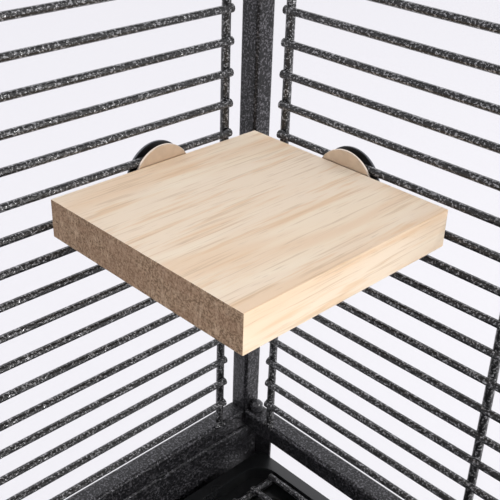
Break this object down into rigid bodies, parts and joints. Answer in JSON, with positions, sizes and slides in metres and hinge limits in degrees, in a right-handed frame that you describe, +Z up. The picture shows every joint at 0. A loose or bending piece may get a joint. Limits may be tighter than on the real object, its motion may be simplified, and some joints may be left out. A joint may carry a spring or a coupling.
{
  "type": "bird cage on stand",
  "caption": "Rolling wire bird cage on a stand, with hinged front doors, feeder flaps over cups, a pull-out tray with a grate, dowel perches and a wooden corner platform.",
  "frame": {"origin": "on the floor under the middle of the object", "axes": "+Z up, +X to the right when the doors are faced, -Y towards the front, where the doors and the tray's pull are"},
  "size_m": [0.7646, 0.5112, 1.346],
  "materials": {
    "hammertone_coat": "black hammertone powder coat with fine pale speckle, semi-gloss",
    "bolt_black": "glossy black bolt heads",
    "tray_plastic": "smooth black moulded plastic, semi-gloss",
    "cup_plastic": "dark grey moulded plastic",
    "pine": "bare planed pine with soft straight grain",
    "zinc_steel": "bright zinc-plated steel",
    "wheel_rubber": "black rubber caster wheels"
  },
  "bodies": {
    "cage_and_stand": {"back_wall": "hammertone_coat", "left_wall": "hammertone_coat", "right_wall": "hammertone_coat", "front_wall": "hammertone_coat", "roof": "hammertone_coat", "side_guide_left": "hammertone_coat", "side_guide_right": "hammertone_coat", "bottom_shelf": "hammertone_coat", "platform_board": "pine", "perch_high": "pine", "perch_middle": "pine", "perch_low": "pine", "post_front_left": "hammertone_coat", "post_front_right": "hammertone_coat", "post_back_left": "hammertone_coat", "post_back_right": "hammertone_coat", "leg_front_left": "hammertone_coat", "leg_front_right": "hammertone_coat", "leg_back_left": "hammertone_coat", "leg_back_right": "hammertone_coat", "frame_bolt_front_left": "bolt_black", "frame_bolt_front_right": "bolt_black", "frame_bolt_back_left": "bolt_black", "frame_bolt_back_right": "bolt_black", "platform_bolt_left": "zinc_steel", "platform_bolt_back": "zinc_steel", "inner_washer_left": "zinc_steel", "inner_washer_back": "zinc_steel", "outer_washer_left": "zinc_steel", "outer_washer_back": "zinc_steel", "feed_cup_left_back": "cup_plastic", "feed_cup_left_front": "cup_plastic", "feed_cup_right_back": "cup_plastic", "feed_cup_right_front": "cup_plastic"},
    "main_door": {"main_door": "hammertone_coat"},
    "upper_door": {"upper_door": "hammertone_coat"},
    "main_latch": {"main_latch": "zinc_steel"},
    "upper_latch": {"upper_latch": "zinc_steel"},
    "feeder_flap_left_back": {"feeder_flap_left_back": "hammertone_coat"},
    "feeder_flap_left_front": {"feeder_flap_left_front": "hammertone_coat"},
    "feeder_flap_right_back": {"feeder_flap_right_back": "hammertone_coat"},
    "feeder_flap_right_front": {"feeder_flap_right_front": "hammertone_coat"},
    "tray": {"tray": "tray_plastic", "grate": "hammertone_coat"},
    "wing_nut_left": {"wing_nut_left": "zinc_steel"},
    "wing_nut_back": {"wing_nut_back": "zinc_steel"},
    "caster_front_left": {"caster_fork_front_left": "zinc_steel", "caster_axle_front_left": "zinc_steel"},
    "wheel_front_left": {"caster_wheel_front_left": "wheel_rubber"},
    "caster_front_right": {"caster_fork_front_right": "zinc_steel", "caster_axle_front_right": "zinc_steel"},
    "wheel_front_right": {"caster_wheel_front_right": "wheel_rubber"},
    "caster_back_left": {"caster_fork_back_left": "zinc_steel", "caster_axle_back_left": "zinc_steel"},
    "wheel_back_left": {"caster_wheel_back_left": "wheel_rubber"},
    "caster_back_right": {"caster_fork_back_right": "zinc_steel", "caster_axle_back_right": "zinc_steel"},
    "wheel_back_right": {"caster_wheel_back_right": "wheel_rubber"}
  },
  "joints": [
    {"name": "main_door_hinge", "type": "hinge", "parent": "cage_and_stand", "child": "main_door", "pos_m": [-0.16, -0.24129, 0.80308], "axis": [0, 0, -1], "range_deg": [0, 110]},
    {"name": "upper_door_hinge", "type": "hinge", "parent": "cage_and_stand", "child": "upper_door", "pos_m": [-0.16, -0.24129, 1.15508], "axis": [0, 0, -1], "range_deg": [0, 110]},
    {"name": "main_latch_turn", "type": "hinge", "parent": "cage_and_stand", "child": "main_latch", "pos_m": [0.169, -0.2463, 0.81107], "axis": [0, -1, 0], "range_deg": [0, 90]},
    {"name": "upper_latch_turn", "type": "hinge", "parent": "cage_and_stand", "child": "upper_latch", "pos_m": [0.169, -0.2463, 1.16308], "axis": [0, -1, 0], "range_deg": [0, 90]},
    {"name": "feeder_flap_left_back_hinge", "type": "hinge", "parent": "cage_and_stand", "child": "feeder_flap_left_back", "pos_m": [-0.3663, 0.056, 1.05907], "axis": [0, 1, 0], "range_deg": [0, 85]},
    {"name": "feeder_flap_left_front_hinge", "type": "hinge", "parent": "cage_and_stand", "child": "feeder_flap_left_front", "pos_m": [-0.3663, -0.056, 1.05907], "axis": [0, 1, 0], "range_deg": [0, 85]},
    {"name": "feeder_flap_right_back_hinge", "type": "hinge", "parent": "cage_and_stand", "child": "feeder_flap_right_back", "pos_m": [0.3663, 0.056, 1.05907], "axis": [0, -1, 0], "range_deg": [0, 85]},
    {"name": "feeder_flap_right_front_hinge", "type": "hinge", "parent": "cage_and_stand", "child": "feeder_flap_right_front", "pos_m": [0.3663, -0.056, 1.05907], "axis": [0, -1, 0], "range_deg": [0, 85]},
    {"name": "tray_slide", "type": "slide", "parent": "cage_and_stand", "child": "tray", "axis": [0, -1, 0], "range_m": [0, 0.42]},
    {"name": "wing_nut_left_turn", "type": "hinge", "parent": "cage_and_stand", "child": "wing_nut_left", "pos_m": [-0.3743, 0.1739, 0.74445], "axis": [-1, 0, 0], "continuous": true},
    {"name": "wing_nut_back_turn", "type": "hinge", "parent": "cage_and_stand", "child": "wing_nut_back", "pos_m": [-0.3009, 0.2473, 0.74445], "axis": [0, 1, 0], "continuous": true},
    {"name": "caster_swivel_front_left", "type": "hinge", "parent": "cage_and_stand", "child": "caster_front_left", "pos_m": [-0.3683, -0.2413, 0.068], "axis": [0, 0, 1], "continuous": true},
    {"name": "wheel_spin_front_left", "type": "hinge", "parent": "caster_front_left", "child": "wheel_front_left", "pos_m": [-0.3503, -0.2413, 0.025], "axis": [0, 1, 0], "continuous": true},
    {"name": "caster_swivel_front_right", "type": "hinge", "parent": "cage_and_stand", "child": "caster_front_right", "pos_m": [0.3683, -0.2413, 0.068], "axis": [0, 0, 1], "continuous": true},
    {"name": "wheel_spin_front_right", "type": "hinge", "parent": "caster_front_right", "child": "wheel_front_right", "pos_m": [0.3503, -0.2413, 0.025], "axis": [0, 1, 0], "continuous": true},
    {"name": "caster_swivel_back_left", "type": "hinge", "parent": "cage_and_stand", "child": "caster_back_left", "pos_m": [-0.3683, 0.2413, 0.068], "axis": [0, 0, 1], "continuous": true},
    {"name": "wheel_spin_back_left", "type": "hinge", "parent": "caster_back_left", "child": "wheel_back_left", "pos_m": [-0.3503, 0.2413, 0.025], "axis": [0, 1, 0], "continuous": true},
    {"name": "caster_swivel_back_right", "type": "hinge", "parent": "cage_and_stand", "child": "caster_back_right", "pos_m": [0.3683, 0.2413, 0.068], "axis": [0, 0, 1], "continuous": true},
    {"name": "wheel_spin_back_right", "type": "hinge", "parent": "caster_back_right", "child": "wheel_back_right", "pos_m": [0.3503, 0.2413, 0.025], "axis": [0, 1, 0], "continuous": true}
  ]
}
